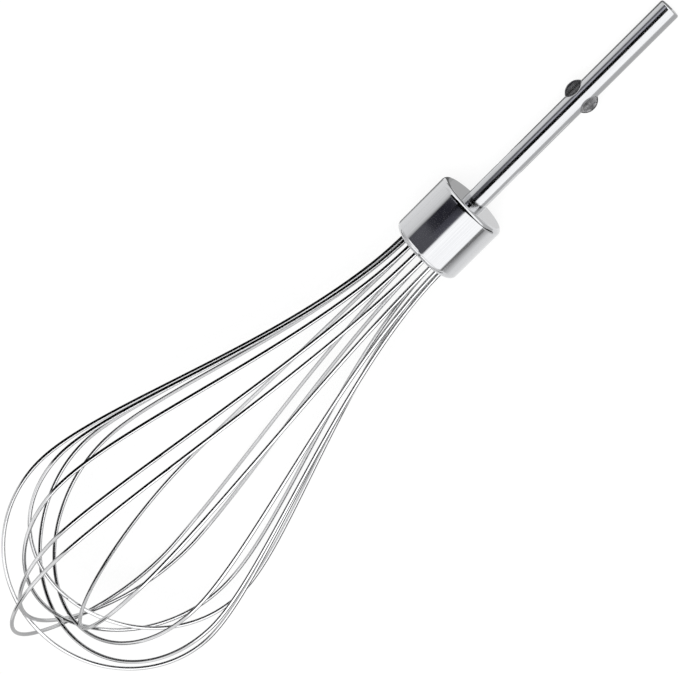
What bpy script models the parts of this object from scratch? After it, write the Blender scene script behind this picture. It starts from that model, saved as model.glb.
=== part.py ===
# Hand mixer whisk: a steel spindle, a drawn steel collar and eight loops of round steel wire.
# Lengths are in metres and angles in degrees. The whisk is modelled along +X, from the spindle's tip to the
# balloon, and is then laid down the way it comes to rest on a table.

import math
from collections import namedtuple

import bmesh
import bpy
from mathutils import Matrix, Vector, geometry
from mathutils.bvhtree import BVHTree

# Spindle
SHAFT_DIAMETER = 0.0064
SHAFT_REACH = 0.07695  # from its tip to the collar's top face
SHAFT_TIP_ROUNDING = 0.0005
SHAFT_GRIP_LENGTH = 0.0145  # how far it goes on below the collar's top face

# Ears, pinched out of the spindle between round punches
EAR_STATION = 0.0342  # from the spindle's tip to their middle
EAR_SPAN = 0.0100  # across both ears
EAR_THICKNESS = 0.0018
EAR_LOBE_RADIUS = 0.0036
EAR_EDGE_ROUNDING = 0.0004
PUNCH_RADIUS = 0.0040
PUNCH_SPACING = 0.0034  # left between the two round dents on one side of the spindle

# Collar
COLLAR_DIAMETER = 0.0224
COLLAR_LENGTH = 0.0203
COLLAR_WALL = 0.0008
COLLAR_TOP_ROUNDING = 0.0012
COLLAR_LIP_CLEARANCE = 0.0012  # from its spun-in lip to the wires

# Wire loops
WIRE_DIAMETER = 0.0012
SOCKET_RING_RADIUS = 0.0075
SOCKET_DEPTH = 0.0090
FIRST_SOCKET_ANGLE = 11.25
BALLOON_RADIUS = 0.0370  # from the axis to the wires' centres at the belly
FLARE_PULL = 0.35  # share of the flare that the bend at the socket takes
END_FALL = 0.565  # share of the drop from the belly that its bend takes
END_SWEEP = 0.545  # share of the balloon's radius that the bend across the end takes

# One row for each loop, in the order of its first socket. The angles say where its two strands stand at the
# belly, going round the whisk from -Y over the top. The two bellies and the reach are measured from the
# collar's rim. Aside and above place the loop's end off the axis, lean is how far the strands still turn round
# the whisk at the belly, and ease is the share of the flare that the bend at the belly takes.
Loop = namedtuple(
    "Loop",
    "first_angle second_angle first_belly second_belly reach aside above lean ease",
)
LOOPS = (
    Loop(4.0, 185.0, 0.1290, 0.1325, 0.1691, 0.0003, 0.0001, 3.5, 0.20),
    Loop(26.5, 201.5, 0.1165, 0.1195, 0.1556, 0.0012, -0.0034, 1.0, 0.20),
    Loop(44.0, 217.0, 0.1200, 0.1250, 0.1603, 0.0025, -0.0006, 0.0, 0.23),
    Loop(64.0, 248.5, 0.1245, 0.1245, 0.1657, -0.0017, -0.0014, -4.0, 0.24),
    Loop(72.0, 255.0, 0.1265, 0.1315, 0.1735, -0.0020, -0.0040, -4.5, 0.32),
    Loop(107.0, 279.5, 0.1175, 0.1105, 0.1541, 0.0039, 0.0004, -0.5, 0.25),
    Loop(135.5, 320.5, 0.1160, 0.1205, 0.1573, -0.0020, -0.0014, 0.0, 0.21),
    Loop(157.0, 331.0, 0.1220, 0.1240, 0.1620, 0.0010, -0.0004, -1.5, 0.19),
)

# Fits
SEAT_GAP = 0.0003  # between pieces that touch
MERGE_DISTANCE = 0.000001

# Facets
ROUND_STEPS = 40
SOCKET_STEPS = 12
CORNER_STEPS = 3
FLARE_STEPS = 10
END_STEPS = 12
SMOOTH_BELOW = 35.0

FULL_TURN = 360.0
SHAFT_RADIUS = SHAFT_DIAMETER / 2
COLLAR_RADIUS = COLLAR_DIAMETER / 2
WIRE_RADIUS = WIRE_DIAMETER / 2
RIM_STATION = SHAFT_REACH + COLLAR_LENGTH
LIP_RADIUS = SOCKET_RING_RADIUS + WIRE_RADIUS + COLLAR_LIP_CLEARANCE
SHOULDER_RADIUS = COLLAR_RADIUS - LIP_RADIUS
HOLDER_SKIN = COLLAR_WALL + SEAT_GAP  # the collar's wall and the gap inside it
SOCKET_MOUTH = COLLAR_LENGTH - HOLDER_SKIN  # the holder's end face, from the collar's top face


def clear_scene():
    for thing in list(bpy.data.objects):
        bpy.data.objects.remove(thing)


def metal(name, colour, roughness):
    """A bare metal finish."""
    material = bpy.data.materials.new(name)
    material.use_nodes = True
    shader = material.node_tree.nodes["Principled BSDF"]
    shader.inputs["Base Color"].default_value = (*colour, 1.0)
    shader.inputs["Metallic"].default_value = 1.0
    shader.inputs["Roughness"].default_value = roughness
    return material


def plastic(name, colour, roughness):
    """A moulded plastic finish."""
    material = metal(name, colour, roughness)
    material.node_tree.nodes["Principled BSDF"].inputs["Metallic"].default_value = 0.0
    return material


def add_object(name, data, parent, station, material):
    """Puts a piece on the whisk's axis, at its distance from the spindle's tip."""
    piece = bpy.data.objects.new(name, data)
    bpy.context.scene.collection.objects.link(piece)
    piece.parent = parent
    piece.location.x = station
    if material:
        data.materials.append(material)
    return piece


def arc(centre, radius, start, end, steps=CORNER_STEPS):
    """Points (x, radius) along a round corner, from one angle to another."""
    points = []
    for step in range(steps + 1):
        angle = math.radians(start + (end - start) * step / steps)
        x = centre[0] + radius * math.cos(angle)
        points.append((x, centre[1] + radius * math.sin(angle)))
    return points


def turned(name, section, ring=False):
    """A mesh turned round +X from a section of (x, radius) points, which closes on itself if it is a ring."""
    shape = bmesh.new()
    points = [shape.verts.new((x, 0.0, radius)) for x, radius in section]
    ends = points[1:] + points[:1] if ring else points[1:]
    lines = [shape.edges.new(pair) for pair in zip(points, ends)]
    bmesh.ops.spin(
        shape,
        geom=points + lines,
        cent=(0, 0, 0),
        axis=(1, 0, 0),
        angle=math.tau,
        steps=ROUND_STEPS,
        use_merge=True,
    )
    bmesh.ops.remove_doubles(shape, verts=shape.verts, dist=MERGE_DISTANCE)
    bmesh.ops.recalc_face_normals(shape, faces=shape.faces)
    mesh = bpy.data.meshes.new(name)
    shape.to_mesh(mesh)
    shape.free()
    mesh.shade_smooth()
    mesh.set_sharp_from_angle(angle=math.radians(SMOOTH_BELOW))
    return mesh


def rod_section(start, end, radius, rounding):
    """Half the outline of a rod from start to end with rounded ends."""
    first = arc((start + rounding, radius - rounding), rounding, 180.0, 90.0)
    last = arc((end - rounding, radius - rounding), rounding, 90.0, 0.0)
    return [(start, 0.0), *first, *last, (end, 0.0)]


def add_tool(piece, name, mesh, operation, location, pitch=-90.0):
    """A hidden shape, stood on end, that is cut from a piece or joined to it."""
    tool = add_object(name, mesh, piece, 0.0, None)
    tool.location = location
    tool.rotation_euler.y = math.radians(pitch)
    tool.hide_render = True
    tool.display_type = "WIRE"
    change = piece.modifiers.new(name, "BOOLEAN")
    change.operation = operation
    change.solver = "EXACT"
    change.object = tool


def build_shaft(parent, material):
    """The spindle: a round rod whose two ears are squeezed out sideways between four punches."""
    end = SHAFT_REACH + SHAFT_GRIP_LENGTH
    mesh = turned("drive_shaft", rod_section(0.0, end, SHAFT_RADIUS, SHAFT_TIP_ROUNDING))
    shaft = add_object("drive_shaft", mesh, parent, 0.0, material)
    half_ear = EAR_THICKNESS / 2
    lobe = turned(
        "ear_lobe", rod_section(-half_ear, half_ear, EAR_LOBE_RADIUS, EAR_EDGE_ROUNDING)
    )
    punch = turned(
        "ear_punch", rod_section(half_ear, SHAFT_DIAMETER, PUNCH_RADIUS, EAR_EDGE_ROUNDING)
    )
    lobe_place = EAR_SPAN / 2 - EAR_LOBE_RADIUS
    punch_place = PUNCH_SPACING / 2 + PUNCH_RADIUS
    for side, word in ((-1, "left"), (1, "right")):
        place = (EAR_STATION, side * lobe_place, 0.0)
        add_tool(shaft, f"{word}_lobe", lobe, "UNION", place)
    for side, word in ((-1, "left"), (1, "right")):
        place = (EAR_STATION, side * punch_place, 0.0)
        add_tool(shaft, f"{word}_upper_punch", punch, "DIFFERENCE", place)
        add_tool(shaft, f"{word}_lower_punch", punch, "DIFFERENCE", place, pitch=90.0)


def build_collar(parent, material):
    """The collar: a drawn cup with a hole for the spindle and a lower edge spun in to a lip."""
    hole = SHAFT_RADIUS + SEAT_GAP
    inner_rounding = COLLAR_TOP_ROUNDING - COLLAR_WALL
    corner = (COLLAR_TOP_ROUNDING, COLLAR_RADIUS - COLLAR_TOP_ROUNDING)
    shoulder = (COLLAR_LENGTH - SHOULDER_RADIUS, LIP_RADIUS)
    section = [(0.0, hole)]
    section += arc(corner, COLLAR_TOP_ROUNDING, 180.0, 90.0)
    section += arc(shoulder, SHOULDER_RADIUS, 90.0, 0.0, 2 * CORNER_STEPS)
    section += arc(shoulder, SHOULDER_RADIUS - COLLAR_WALL, 0.0, 90.0, 2 * CORNER_STEPS)
    section += arc(corner, inner_rounding, 90.0, 180.0)
    section += [(COLLAR_WALL, hole)]
    mesh = turned("collar", section, ring=True)
    add_object("collar", mesh, parent, SHAFT_REACH, material)


def ring_point(angle, radius, x=0.0):
    """A point at an angle round the whisk, from -Y over the top."""
    turn = math.radians(angle)
    return Vector((x, -radius * math.cos(turn), radius * math.sin(turn)))


def ring_direction(angle):
    """The sideways direction in which that angle grows."""
    turn = math.radians(angle)
    return Vector((0.0, math.sin(turn), math.cos(turn)))


def socket_cutters():
    """All the wire sockets' holes as one mesh, along +X from their floors."""
    holes = bmesh.new()
    radius = WIRE_RADIUS + SEAT_GAP
    count = 2 * len(LOOPS)
    for index in range(count):
        angle = FIRST_SOCKET_ANGLE + FULL_TURN * index / count
        middle = ring_point(angle, SOCKET_RING_RADIUS, SOCKET_MOUTH)
        bmesh.ops.create_cone(
            holes,
            segments=SOCKET_STEPS,
            radius1=radius,
            radius2=radius,
            depth=2 * SOCKET_DEPTH,
            cap_ends=True,
            matrix=Matrix.Translation(middle) @ Matrix.Rotation(math.radians(90.0), 4, "Y"),
        )
    mesh = bpy.data.meshes.new("wire_sockets")
    holes.to_mesh(mesh)
    holes.free()
    return mesh


def build_holder(parent, material):
    """The core inside the collar: a bore for the spindle's end and a ring of sockets for the wire ends."""
    bore = SHAFT_RADIUS + SEAT_GAP
    bore_floor = SHAFT_GRIP_LENGTH + SEAT_GAP
    outside = COLLAR_RADIUS - HOLDER_SKIN
    rounding = COLLAR_TOP_ROUNDING
    corner = (HOLDER_SKIN + rounding, outside - rounding)
    shoulder = (COLLAR_LENGTH - SHOULDER_RADIUS, LIP_RADIUS)
    section = [(bore_floor, 0.0), (bore_floor, bore), (HOLDER_SKIN, bore)]
    section += arc(corner, rounding, 180.0, 90.0)
    section += arc(shoulder, SHOULDER_RADIUS - HOLDER_SKIN, 90.0, 0.0)
    section += [(SOCKET_MOUTH, 0.0)]
    mesh = turned("wire_holder", section)
    holder = add_object("wire_holder", mesh, parent, SHAFT_REACH, material)
    sockets = add_object("wire_sockets", socket_cutters(), holder, 0.0, None)
    sockets.hide_render = True
    sockets.display_type = "WIRE"
    cut = holder.modifiers.new("sockets", "BOOLEAN")
    cut.operation = "DIFFERENCE"
    cut.solver = "EXACT"
    cut.object = sockets


def loop_knots(loop, socket_angle):
    """The five knots of a loop as (handle before, knot, handle after): socket, belly, end, belly, socket."""
    mouth = SOCKET_MOUTH - COLLAR_LENGTH
    bellies = (
        (loop.first_angle, loop.first_belly, socket_angle),
        (loop.second_angle, loop.second_belly, socket_angle + FULL_TURN / 2),
    )
    end = Vector((loop.reach, loop.aside, loop.above))
    across = ring_point(loop.second_angle, BALLOON_RADIUS) - ring_point(loop.first_angle, BALLOON_RADIUS)
    sweep = across.normalized() * END_SWEEP * BALLOON_RADIUS
    strands = []
    for (angle, belly, socket), inward in zip(bellies, (-sweep, sweep)):
        root = ring_point(socket, SOCKET_RING_RADIUS, mouth)
        wide = ring_point(angle, BALLOON_RADIUS, belly)
        down = Vector((1.0, 0.0, 0.0)) + ring_direction(angle) * math.tan(math.radians(loop.lean))
        down.normalize()
        flare = belly - mouth
        root_handle = root + Vector((FLARE_PULL * flare, 0.0, 0.0))
        strands.append(
            (
                (root, root, root_handle),
                (
                    wide - down * loop.ease * flare,
                    wide,
                    wide + down * END_FALL * (loop.reach - belly),
                ),
                (end + inward, end, end - inward),
            )
        )
    first, second = strands
    back = [(after, knot, before) for before, knot, after in reversed(second[:2])]
    return [*first, *back]


def loop_route(loop, socket_angle):
    """The wire's centreline, from the floor of one socket round the loop to the floor of the other."""
    knots = loop_knots(loop, socket_angle)
    steps = (FLARE_STEPS, END_STEPS, END_STEPS, FLARE_STEPS)
    tail = Vector((SOCKET_DEPTH - SEAT_GAP, 0.0, 0.0))
    route = [knots[0][1] - tail, knots[0][1]]
    for start, finish, count in zip(knots, knots[1:], steps):
        piece = geometry.interpolate_bezier(start[1], start[2], finish[0], finish[1], count + 1)
        route += piece[1:]
    route.append(knots[-1][1] - tail)
    return route


def build_loops(parent, material):
    """The wire loops, one bent wire each, from socket to opposite socket."""
    for index, loop in enumerate(LOOPS):
        name = f"wire_loop_{index + 1}"
        socket_angle = FIRST_SOCKET_ANGLE + FULL_TURN / 2 * index / len(LOOPS)
        route = loop_route(loop, socket_angle)
        wire = bpy.data.curves.new(name, "CURVE")
        wire.dimensions = "3D"
        wire.bevel_depth = WIRE_RADIUS
        wire.bevel_resolution = 2
        wire.use_fill_caps = True
        spline = wire.splines.new("POLY")
        spline.points.add(len(route) - 1)
        for point, place in zip(spline.points, route):
            point.co = (*place, 1.0)
        add_object(name, wire, parent, RIM_STATION, material)


def surface_points():
    """Every surface point of the finished pieces, and the middle of their material."""
    bpy.context.view_layer.update()
    graph = bpy.context.evaluated_depsgraph_get()
    points = []
    moment = Vector()
    total = 0.0
    for piece in bpy.context.scene.objects:
        if piece.type == "EMPTY" or piece.hide_render:
            continue
        evaluated = piece.evaluated_get(graph)
        mesh = evaluated.to_mesh()
        mesh.calc_loop_triangles()
        placed = [evaluated.matrix_world @ vertex.co for vertex in mesh.vertices]
        for triangle in mesh.loop_triangles:
            a, b, c = (placed[index] for index in triangle.vertices)
            volume = a.dot(b.cross(c)) / 6
            total += volume
            moment += volume * (a + b + c) / 4
        points += placed
        evaluated.to_mesh_clear()
    return points, moment / total


def lay_down(whisk):
    """Turns the whisk onto the three points that it rests on, with its box's underside centred on the origin."""
    points, middle = surface_points()
    hull = bmesh.new()
    for point in points:
        hull.verts.new(point)
    bmesh.ops.convex_hull(hull, input=hull.verts)
    bmesh.ops.recalc_face_normals(hull, faces=hull.faces)
    below = Vector((0.0, 0.0, -1.0))
    normal = BVHTree.FromBMesh(hull).ray_cast(middle, below)[1]
    hull.free()
    if normal.dot(below) < 0:
        normal.negate()
    up = -normal
    along = Vector((1.0, 0.0, 0.0))
    along = (along - along.project(up)).normalized()
    across = up.cross(along)
    turn = Matrix((along, across, up))
    turned_points = [turn @ point for point in points]
    low = [min(point[axis] for point in turned_points) for axis in range(3)]
    high = [max(point[axis] for point in turned_points) for axis in range(3)]
    shift = Vector(((low[0] + high[0]) / 2, (low[1] + high[1]) / 2, low[2]))
    whisk.matrix_world = Matrix.Translation(-shift) @ turn.to_4x4()


def build_whisk():
    clear_scene()
    shaft_steel = metal("shaft_steel", (0.72, 0.73, 0.75), 0.16)
    collar_steel = metal("collar_steel", (0.78, 0.79, 0.81), 0.10)
    wire_steel = metal("wire_steel", (0.75, 0.76, 0.78), 0.14)
    holder_plastic = plastic("holder_plastic", (0.16, 0.16, 0.17), 0.50)
    whisk = bpy.data.objects.new("whisk", None)
    bpy.context.scene.collection.objects.link(whisk)
    build_shaft(whisk, shaft_steel)
    build_collar(whisk, collar_steel)
    build_holder(whisk, holder_plastic)
    build_loops(whisk, wire_steel)
    lay_down(whisk)


build_whisk()
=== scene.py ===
# %% [markdown]
# # Hand mixer whisk
# A whisk attachment for a hand mixer: a polished steel spindle with two pinched ears, a drawn steel collar
# and eight loops of round steel wire. The imported CAD model is loaded first, because it fixes every size and
# place. The visible pieces are then made finer round it, and each one is shown in place of a CAD solid, which
# is hidden.

import math
from collections import namedtuple

import bpy
import numpy as np
from mathutils import Matrix, Vector, geometry


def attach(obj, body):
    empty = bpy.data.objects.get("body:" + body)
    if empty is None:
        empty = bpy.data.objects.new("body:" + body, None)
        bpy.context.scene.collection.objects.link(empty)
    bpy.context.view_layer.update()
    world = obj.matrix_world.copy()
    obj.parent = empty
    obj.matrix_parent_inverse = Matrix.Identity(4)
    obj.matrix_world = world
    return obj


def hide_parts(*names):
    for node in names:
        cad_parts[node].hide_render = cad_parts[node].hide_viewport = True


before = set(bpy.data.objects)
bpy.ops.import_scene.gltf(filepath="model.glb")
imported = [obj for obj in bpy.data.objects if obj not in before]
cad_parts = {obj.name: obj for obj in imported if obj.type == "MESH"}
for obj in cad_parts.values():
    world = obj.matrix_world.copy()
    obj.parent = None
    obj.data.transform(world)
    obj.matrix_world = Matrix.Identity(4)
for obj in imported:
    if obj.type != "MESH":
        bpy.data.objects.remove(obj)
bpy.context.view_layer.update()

# %% [markdown]
# ## The whisk's own axes
# The whisk lies on its wires and on the spindle's tip, so its axis isn't level. It is much easier to shape
# turned pieces and wires along the whisk's own axis, and to move the finished points into the model's frame
# at the end. The axes could be copied as numbers, but measuring them from the solids keeps them right if
# the rest pose changes. The middles of the spindle's and the collar's material both lie on the axis, and
# the ears spread the spindle's material sideways. Middles of corners would be wrong, because corners crowd
# where a shape is finer.

# %% Measure the whisk's axes
MM = 0.001


def unit(vector):
    return vector / np.linalg.norm(vector)


def solid_points(name):
    """The corners of a CAD solid, as rows of x, y and z, and its triangles."""
    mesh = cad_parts[name].data
    mesh.calc_loop_triangles()
    points = np.empty(len(mesh.vertices) * 3)
    mesh.vertices.foreach_get("co", points)
    corners = np.empty(len(mesh.loop_triangles) * 3, np.int32)
    mesh.loop_triangles.foreach_get("vertices", corners)
    return points.reshape(-1, 3), corners.reshape(-1, 3)


def solid_middle(name):
    """The middle of a CAD solid's material, and how the material spreads about it, as a matrix."""
    points, corners = solid_points(name)
    first, second, third = (points[corners[:, column]] for column in range(3))
    volumes = np.einsum("ij,ij->i", first, np.cross(second, third)) / 6
    total = first + second + third
    middle = (volumes[:, None] * total / 4).sum(axis=0) / volumes.sum()
    spread = sum(np.einsum("i,ij,ik->jk", volumes, part, part) for part in (first, second, third, total))
    return middle, spread / (20 * volumes.sum()) - np.outer(middle, middle)


shaft_middle, shaft_spread = solid_middle("drive_shaft")
collar_middle, _ = solid_middle("collar")
axis = unit(collar_middle - shaft_middle)
across_axis = np.eye(3) - np.outer(axis, axis)
sideways = np.linalg.eigh(across_axis @ shaft_spread @ across_axis)[1][:, -1]
sideways *= math.copysign(1.0, sideways[1])
facing = np.cross(axis, sideways)
reach_back = ((solid_points("drive_shaft")[0] - shaft_middle) @ axis).min()
tip = shaft_middle + reach_back * axis

PLACE = Matrix(np.column_stack((axis, sideways, facing)).tolist()).to_4x4()
PLACE.translation = Vector(tip)
print("axis", np.round(axis, 4), "sideways", np.round(sideways, 4), "tip", np.round(1000 * tip, 2))

# %% [markdown]
# ## The camera
# The photograph looks down on the whisk from the spindle's side, 16 degrees off square to the axis, with
# the whisk running corner to corner. The lens is a long one, 119 mm on a full frame, worked out from how
# much the near end is larger than the far end. The camera is placed in the whisk's own axes, so it stays
# right for the whisk even if the model is laid down another way.

# %% Place the camera
CAMERA_TILT = math.radians(15.81)
CAMERA_ROLL = math.radians(45.19)
CAMERA_DISTANCE = 651.0 * MM
CAMERA_AIM = 132.73 * MM  # from the spindle's tip, along the axis
CAMERA_ASIDE = 0.07 * MM
CAMERA_LENS = 119.12
SENSOR_WIDTH = 36.0


def new_object(name, data):
    """An object in the scene that holds this mesh, camera or lamp."""
    thing = bpy.data.objects.new(name, data)
    bpy.context.scene.collection.objects.link(thing)
    return thing


look = Vector((math.sin(CAMERA_TILT), 0.0, -math.cos(CAMERA_TILT)))
along_up = Vector((-math.cos(CAMERA_TILT), 0.0, -math.sin(CAMERA_TILT)))
across = Vector((0.0, 1.0, 0.0))
photo_up = math.cos(CAMERA_ROLL) * along_up - math.sin(CAMERA_ROLL) * across
photo_right = math.cos(CAMERA_ROLL) * across + math.sin(CAMERA_ROLL) * along_up

camera_data = bpy.data.cameras.new("photo_camera")
camera_data.lens = CAMERA_LENS
camera_data.sensor_width = SENSOR_WIDTH
camera_data.sensor_fit = "HORIZONTAL"
camera_data.clip_start = 0.01
camera = new_object("photo_camera", camera_data)
stance = Matrix((photo_right, photo_up, -look)).transposed().to_4x4()
stance.translation = Vector((CAMERA_AIM, CAMERA_ASIDE, 0.0)) - CAMERA_DISTANCE * look
camera.matrix_world = PLACE @ stance
bpy.context.scene.camera = camera
print("camera at", [round(value, 3) for value in camera.matrix_world.translation])

# %% [markdown]
# ## Helpers for shaders
# A material is a small network of nodes. These helpers add a node with its values and join it to others, so
# that each finish below reads as a short list of steps. Three kinds of node are used so often that they
# have a helper each: noise, a value spread over another range, and a mix of two colours or values. A group
# is a network with named inputs and outputs that several materials share: its sockets are made with
# `interface.new_socket`.


# %% Shader helpers
def set_inputs(tree, node, values):
    """Joins each value that is another node's output to its input, and sets the others."""
    for name, value in values.items():
        if isinstance(value, bpy.types.NodeSocket):
            tree.links.new(value, node.inputs[name])
        else:
            node.inputs[name].default_value = value


def add_node(tree, kind, values=None, **settings):
    """A node of this kind, with its settings and the values of its inputs."""
    node = tree.nodes.new("ShaderNode" + kind)
    for name, setting in settings.items():
        setattr(node, name, setting)
    set_inputs(tree, node, values or {})
    return node


def add_math(tree, operation, first, second=0.0):
    """The output of a Math node."""
    return add_node(tree, "Math", {0: first, 1: second}, operation=operation).outputs[0]


def add_noise(tree, place, scale, detail, roughness=0.5, distortion=0.0):
    """The grey value of a Noise Texture node."""
    values = {"Vector": place, "Scale": scale, "Detail": detail, "Roughness": roughness}
    return add_node(tree, "TexNoise", {**values, "Distortion": distortion}).outputs["Fac"]


def add_range(tree, value, start, end, low=0.0, high=1.0):
    """A value that goes from low, where another one is at its start, to high at its end."""
    values = {"Value": value, "From Min": start, "From Max": end, "To Min": low, "To Max": high}
    return add_node(tree, "MapRange", values).outputs[0]


def add_mix(tree, share, first, second, kind="RGBA"):
    """A mix of two colours or, with the kind FLOAT, of two values."""
    values = {"Factor": share, "A": first, "B": second}
    return add_node(tree, "Mix", values, data_type=kind).outputs["Result"]


# %% Helpers for groups and materials
def new_group(name, inputs, outputs):
    """An empty node group: inputs are (name, kind, value), and outputs are (name, kind)."""
    tree = bpy.data.node_groups.new(name, "ShaderNodeTree")
    for label, kind, value in inputs:
        socket = tree.interface.new_socket(label, in_out="INPUT", socket_type="NodeSocket" + kind)
        if value is not None:
            socket.default_value = value
    for label, kind in outputs:
        tree.interface.new_socket(label, in_out="OUTPUT", socket_type="NodeSocket" + kind)
    entry = tree.nodes.new("NodeGroupInput").outputs
    result = tree.nodes.new("NodeGroupOutput").inputs
    return tree, entry, result


def use_group(tree, group, values):
    """The outputs of this group as a node in a material, with its own values."""
    node = tree.nodes.new("ShaderNodeGroup")
    node.node_tree = group
    set_inputs(tree, node, values)
    return node.outputs


def new_material(name):
    """A material and its network, which starts with a Principled BSDF."""
    material = bpy.data.materials.new(name)
    material.use_nodes = True
    return material, material.node_tree


# %% [markdown]
# ## Effects that the finishes share
# Steel is never one even mirror. Wire and rod keep faint lines along them from being drawn through a die,
# and a deep-drawn cup keeps such lines down its wall. Everything that has been handled has soft cloudy
# patches where the polish is a little duller. Steel that was squeezed between punches keeps a dull, mottled
# scale. Each effect could be a picture, but noise gives it at any distance and without a seam: stretched
# along one direction for the lines, large and soft for the patches, and small and hard-edged for the scale.

# %% Tool lines: fine parallel lines left by a die
MM_IN_A_METRE = 1000.0

lines_group, entry, result = new_group(
    "tool_lines",
    [
        ("Vector", "Vector", None),
        ("Lines per mm", "Float", 4.0),
        ("Length in mm", "Float", 20.0),
        ("Contrast", "Float", 1.0),
    ],
    [("Height", "Float"), ("Mask", "Float")],
)
run = add_node(lines_group, "SeparateXYZ", {0: entry["Vector"]}).outputs
per_metre = add_math(lines_group, "MULTIPLY", entry["Lines per mm"], MM_IN_A_METRE)
per_length = add_math(lines_group, "DIVIDE", MM_IN_A_METRE, entry["Length in mm"])
stretched = add_node(
    lines_group,
    "CombineXYZ",
    {
        0: add_math(lines_group, "MULTIPLY", run[0], per_length),
        1: add_math(lines_group, "MULTIPLY", run[1], per_metre),
        2: add_math(lines_group, "MULTIPLY", run[2], per_metre),
    },
).outputs[0]
fine = add_noise(lines_group, stretched, scale=1.0, detail=3.0, roughness=0.6)
sharper = add_range(lines_group, fine, 0.32, 0.68)
lines_group.links.new(add_math(lines_group, "MULTIPLY", sharper, entry["Contrast"]), result["Height"])
lines_group.links.new(sharper, result["Mask"])
print("tool lines:", len(lines_group.nodes), "nodes")

# %% Handling: cloudy patches where the polish is duller
handling_group, entry, result = new_group(
    "handling",
    [("Vector", "Vector", None), ("Patch size in mm", "Float", 6.0), ("Amount", "Float", 1.0)],
    [("Mask", "Float")],
)
patch_scale = add_math(handling_group, "DIVIDE", MM_IN_A_METRE, entry["Patch size in mm"])
clouds = add_noise(handling_group, entry["Vector"], patch_scale, 4.0, roughness=0.55, distortion=0.4)
patches = add_range(handling_group, clouds, 0.38, 0.72)
handling_group.links.new(add_math(handling_group, "MULTIPLY", patches, entry["Amount"]), result["Mask"])
print("handling:", len(handling_group.nodes), "nodes")

# %% Press scale: the dull, mottled skin where steel has been squeezed between punches, and a near-black edge of painted shade
DARK_SCALE = (0.085, 0.085, 0.088, 1.0)
LIGHT_SCALE = (0.20, 0.20, 0.205, 1.0)
# painted shade: the near-black colour of the left punch's wall and the right ear's dark outline
PAINTED_SHADE_EDGE = (0.015, 0.015, 0.016, 1.0)
SCALE_RELIEF = 6.0  # against the height of the tool lines

scale_shade_group, entry, result = new_group(
    "press_scale_and_shade",
    [("Vector", "Vector", None), ("Spots per mm", "Float", 1.5), ("Painted shade", "Float", 0.0)],
    [("Colour", "Color"), ("Roughness", "Float"), ("Height", "Float")],
)
per_metre = add_math(scale_shade_group, "MULTIPLY", entry["Spots per mm"], MM_IN_A_METRE)
spots = add_noise(scale_shade_group, entry["Vector"], per_metre, detail=3.0, roughness=0.6)
spots = add_range(scale_shade_group, spots, 0.35, 0.65)
skin = add_mix(scale_shade_group, spots, DARK_SCALE, LIGHT_SCALE)
skin = add_mix(scale_shade_group, entry["Painted shade"], skin, PAINTED_SHADE_EDGE)
scale_shade_group.links.new(skin, result["Colour"])
dullness = add_range(scale_shade_group, spots, 0.0, 1.0, low=0.36, high=0.26)
scale_shade_group.links.new(dullness, result["Roughness"])
scale_shade_group.links.new(add_math(scale_shade_group, "MULTIPLY", spots, SCALE_RELIEF), result["Height"])
print("press scale:", len(scale_shade_group.nodes), "nodes")

# %% [markdown]
# ## The steels
# The spindle, the collar and the wire are all stainless steel, but they are finished differently. Each
# material has the same build: the tool lines change the height, the roughness and the colour a little, and
# the handling patches raise the roughness. All three are drawn, so their lines run along them. The collar
# is buffed after it is drawn, so it is the smoothest and its lines are the faintest. The lines need a place
# to start from: the meshes below carry each point's place on the whisk, or along the wire, in a layer that
# the shader reads.

# %% A steel finish
PLACE_LAYER = "place_on_whisk"
SCALE_AND_SHADE_LAYER = "pressed"
FULL_SCALE = 0.8  # in the pressed layer, where more is a darker edge of painted shade


def steel(name, colour, dark_colour, roughness, rough_spread, lines, patch, relief, pressed=False):
    """Polished steel. Lines are (lines per mm, length in mm), and relief is their height in metres."""
    material, tree = new_material(name)
    place = add_node(tree, "Attribute", attribute_name=PLACE_LAYER).outputs["Vector"]
    line_values = {"Vector": place, "Lines per mm": lines[0], "Length in mm": lines[1]}
    tool = use_group(tree, lines_group, line_values)
    handled = use_group(tree, handling_group, {"Vector": place, "Patch size in mm": patch})
    dull = add_math(tree, "MULTIPLY", handled["Mask"], rough_spread)
    grain = add_math(tree, "MULTIPLY", tool["Mask"], rough_spread / 2)
    total = add_math(tree, "ADD", add_math(tree, "ADD", roughness, dull), grain)
    tint = add_mix(tree, tool["Mask"], (*colour, 1.0), (*dark_colour, 1.0))
    height = tool["Height"]
    # the pressed layer brings the press scale and, with it, the ears' painted shade and painted highlight
    if pressed:
        depth = add_node(tree, "Attribute", attribute_name=SCALE_AND_SHADE_LAYER).outputs["Fac"]
        share = add_range(tree, depth, 0.0, FULL_SCALE)
        edge = add_range(tree, depth, FULL_SCALE, 1.0)
        scale = use_group(tree, scale_shade_group, {"Vector": place, "Painted shade": edge})
        tint = add_mix(tree, share, tint, scale["Colour"])
        total = add_mix(tree, share, total, scale["Roughness"], kind="FLOAT")
        height = add_mix(tree, share, height, scale["Height"], kind="FLOAT")
    bump = add_node(tree, "Bump", {"Height": height, "Distance": relief, "Strength": 1.0}).outputs[0]
    values = {"Roughness": total, "Base Color": tint, "Metallic": 1.0, "Normal": bump}
    set_inputs(tree, tree.nodes["Principled BSDF"], values)
    return material


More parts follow.
